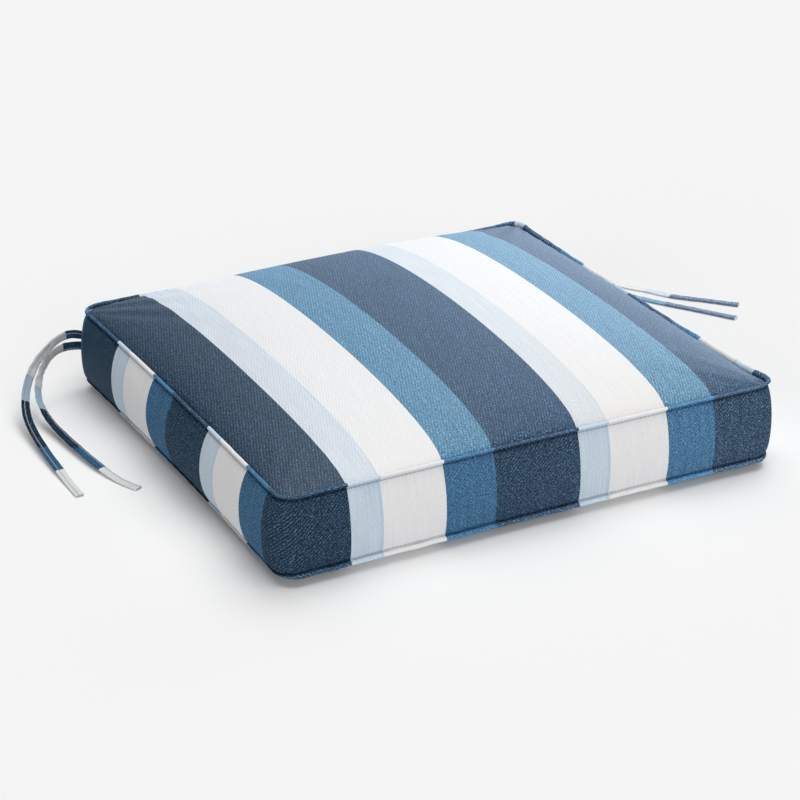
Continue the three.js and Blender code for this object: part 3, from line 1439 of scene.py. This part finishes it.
    def _frames(self, points: Sequence[Vector]) -> list[Vector]:
        """Gives the direction of the tie's width at each point."""
        frames = []
        last = len(points) - 1
        for i in range(len(points)):
            tangent = (points[min(i + 1, last)] - points[max(i - 1, 0)]).normalized()
            level = tangent.cross(UP).normalized()
            upright = level.cross(tangent)
            turn = math.pi / 2 * smooth_step(i / last * self.length, 0.0, self.flat_from)
            frames.append(upright * math.cos(turn) - level * self.side * math.sin(turn))
        return frames


TIES = (
    Tie(
        name="left_upper_tie",
        node="tie_left_upper",
        side=-1,
        flat_from=0.185,
        stripe_at_tip=0.0809,
        stripe_way=1,
        stitched_at=0.25,
        length=0.3140,
        route=(
            (-0.25303, 0.25582, 0.05680), (-0.25522, 0.25801, 0.05680), (-0.2640, 0.2570, 0.0600),
            (-0.2730, 0.2540, 0.0615), (-0.2850, 0.2485, 0.0600), (-0.2985, 0.2410, 0.0555),
            (-0.3115, 0.2345, 0.0475), (-0.3225, 0.2260, 0.0375), (-0.3310, 0.2150, 0.0280),
            (-0.3380, 0.1990, 0.0200), (-0.3430, 0.1790, 0.0140), (-0.3460, 0.1530, 0.0100),
            (-0.3480, 0.1160, 0.0070), (-0.3490, 0.0660, 0.0040), (-0.3490, 0.0380, 0.0020),
            (-0.3490, 0.0090, 0.0014),
        ),
    ),
    Tie(
        name="left_lower_tie",
        node="tie_left_lower",
        side=-1,
        flat_from=0.190,
        stripe_at_tip=0.0809,
        stripe_way=1,
        stitched_at=-0.55,
        length=0.3154,
        route=(
            (-0.25393, 0.25624, 0.04499), (-0.25612, 0.25843, 0.04499), (-0.2640, 0.2585, 0.0465),
            (-0.2750, 0.2570, 0.0475), (-0.2905, 0.2490, 0.0460), (-0.3020, 0.2400, 0.0410),
            (-0.3110, 0.2295, 0.0345), (-0.3180, 0.2175, 0.0275), (-0.3225, 0.2030, 0.0205),
            (-0.3235, 0.1860, 0.0140), (-0.3230, 0.1670, 0.0095), (-0.3210, 0.1370, 0.0070),
            (-0.3180, 0.1000, 0.0060), (-0.3120, 0.0520, 0.0040), (-0.3050, 0.0220, 0.0018),
            (-0.2950, -0.0040, 0.0014),
        ),
    ),
    Tie(
        name="right_upper_tie",
        node="tie_right_upper",
        side=1,
        flat_from=0.115,
        stripe_at_tip=-0.0384,
        stripe_way=1,
        stitched_at=0.3,
        length=0.3078,
        route=(
            (0.25536, 0.25814, 0.05750), (0.25755, 0.26034, 0.05750), (0.2660, 0.2650, 0.0560),
            (0.2780, 0.2715, 0.0500), (0.2910, 0.2760, 0.0410), (0.3050, 0.2775, 0.0305),
            (0.3180, 0.2765, 0.0210), (0.3310, 0.2735, 0.0125), (0.3435, 0.2680, 0.0065),
            (0.3550, 0.2585, 0.0034), (0.3630, 0.2460, 0.0022), (0.3700, 0.2270, 0.0016),
            (0.3780, 0.2115, 0.0014), (0.3870, 0.1990, 0.0014), (0.4040, 0.1680, 0.0014),
            (0.4170, 0.1520, 0.0014), (0.4300, 0.1380, 0.0014), (0.4560, 0.1070, 0.0014),
        ),
    ),
    Tie(
        name="right_lower_tie",
        node="tie_right_lower",
        side=1,
        flat_from=0.125,
        stripe_at_tip=0.0444,
        stripe_way=-1,
        stitched_at=0.3,
        length=0.3037,
        route=(
            (0.25564, 0.25795, 0.04550), (0.25783, 0.26014, 0.04550), (0.2660, 0.2625, 0.0445),
            (0.2790, 0.2670, 0.0400), (0.2930, 0.2690, 0.0330), (0.3070, 0.2690, 0.0250),
            (0.3210, 0.2670, 0.0170), (0.3345, 0.2610, 0.0108), (0.3455, 0.2490, 0.0065),
            (0.3525, 0.2310, 0.0040), (0.3575, 0.2100, 0.0024), (0.3640, 0.1895, 0.0016),
            (0.3750, 0.1705, 0.0014), (0.3860, 0.1515, 0.0014), (0.4090, 0.1147, 0.0014),
            (0.4325, 0.0750, 0.0014),
        ),
    ),
)


# The studio


@dataclass(frozen=True)
class Lamp:
    """One large soft light, far away, at an azimuth and elevation round the cushion.

    spread is its width in degrees as the cushion sees it. A lamp that spares the floor lights
    the finished pieces alone.
    """

    name: str
    power: float
    azimuth: float
    elevation: float
    spread: float
    colour: tuple[float, float, float] = (1.0, 1.0, 1.0)
    spares_floor: bool = False


@dataclass(frozen=True)
class Studio:
    """The floor, the lights and the camera.

    The camera stands at azimuth and elevation round the target. Its axis lies axis_offset
    pixels off the picture's middle, of the number of pixels that picture gives for its width.
    The camera alone sees the backdrop, which lights nothing.
    """

    azimuth: float = -29.63
    elevation: float = 24.10
    distance: float = 2.57806
    target: tuple[float, float, float] = (0.16571, -0.04762, 0.009)
    focal_pixels: float = 2528.4
    axis_offset: float = 182.3
    picture: float = 800.0
    sensor: float = 36.0
    farthest: float = 100.0
    backdrop: float = 0.905
    lamps: tuple[Lamp, ...] = (
        Lamp("overhead", 1.25, 0.0, 88.0, 50.0),
        Lamp("front", 0.91, 0.0, 24.0, 35.0),
        Lamp("right_back", 0.84, 120.0, 60.0, 35.0),
        Lamp("right_front", 0.48, 40.0, 60.0, 35.0),
        Lamp("right_low", 0.25, 120.0, 15.0, 35.0),
        Lamp("back", 0.31, 160.0, 48.0, 35.0),
        Lamp("left_low", 0.72, 300.0, 15.0, 35.0),
        Lamp("rim", 1.50, 141.0, 12.0, 30.0, (0.80, 0.97, 1.18), True),
    )
    floor_size: float = 40.0
    floor_cells: int = 8

    def light(self) -> None:
        """Makes the floor and lights it and the finished pieces."""
        self._show_backdrop()
        for lamp in self.lamps:
            self._light(lamp)
        mesh = bmesh.new()
        cells = self.floor_cells
        bmesh.ops.create_grid(mesh, x_segments=cells, y_segments=cells, size=self.floor_size / 2)
        add_object("studio_floor", mesh, [PaleFloor().build()])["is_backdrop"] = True
        bpy.context.scene.view_settings.view_transform = "Standard"

    @staticmethod
    def _towards(azimuth: float, elevation: float) -> Vector:
        """Gives the direction from the cushion to a place round it."""
        turn, rise = math.radians(azimuth), math.radians(elevation)
        level = math.cos(rise)
        return Vector((math.sin(turn) * level, -math.cos(turn) * level, math.sin(rise)))

    def place_camera(self) -> None:
        """Makes the camera that sees the cushion as the photograph does."""
        data = bpy.data.cameras.new("camera")
        data.sensor_width = self.sensor
        data.lens = self.focal_pixels * self.sensor / self.picture
        data.shift_x = -self.axis_offset / self.picture
        data.clip_end = self.farthest
        camera = bpy.data.objects.new("camera", data)
        bpy.context.scene.collection.objects.link(camera)
        back = self._towards(self.azimuth, self.elevation)
        camera.location = Vector(self.target) + back * self.distance
        camera.rotation_euler = (-back).to_track_quat("-Z", "Y").to_euler()
        bpy.context.scene.camera = camera

    def _show_backdrop(self) -> None:
        """Makes the pale backdrop that only the camera sees."""
        world = bpy.data.worlds.new("studio")
        world.use_nodes = True
        nodes, links = world.node_tree.nodes, world.node_tree.links
        background = nodes["Background"]
        background.inputs["Color"].default_value = WHITE
        path = nodes.new("ShaderNodeLightPath")
        strength = nodes.new("ShaderNodeMapRange")
        strength.inputs["To Max"].default_value = self.backdrop
        links.new(path.outputs["Is Camera Ray"], strength.inputs["Value"])
        links.new(strength.outputs["Result"], background.inputs["Strength"])
        bpy.context.scene.world = world

    def _light(self, lamp: Lamp) -> None:
        """Makes one lamp."""
        data = bpy.data.lights.new(lamp.name, "SUN")
        data.energy = lamp.power
        data.color = lamp.colour
        data.angle = math.radians(lamp.spread)
        light = bpy.data.objects.new(lamp.name, data)
        bpy.context.scene.collection.objects.link(light)
        out = self._towards(lamp.azimuth, lamp.elevation)
        light.rotation_euler = (-out).to_track_quat("-Z", "Y").to_euler()
        if lamp.spares_floor:
            lit = bpy.data.collections.new(lamp.name + "_lit")
            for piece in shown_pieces():
                lit.objects.link(piece)
            light.light_linking.receiver_collection = lit


def main() -> None:
    """Builds the studio, the ties, the shell and its welts."""
    logging.basicConfig(level=logging.INFO, format="%(message)s")
    studio = Studio()
    studio.place_camera()
    tie_cloths = {-1: LEFT_TIE_CANVAS.build(), 1: RIGHT_TIE_CANVAS.build()}
    for tie in TIES:
        log.info("made %s", tie.build(tie_cloths[tie.side]).name)
    log.info("made %s", Shell().build().name)
    welt_cloth = WELT_CANVAS.build()
    for welt in WELTS:
        log.info("made %s", welt.build(welt_cloth).name)
    studio.light()


if __name__ == "__main__":
    main()
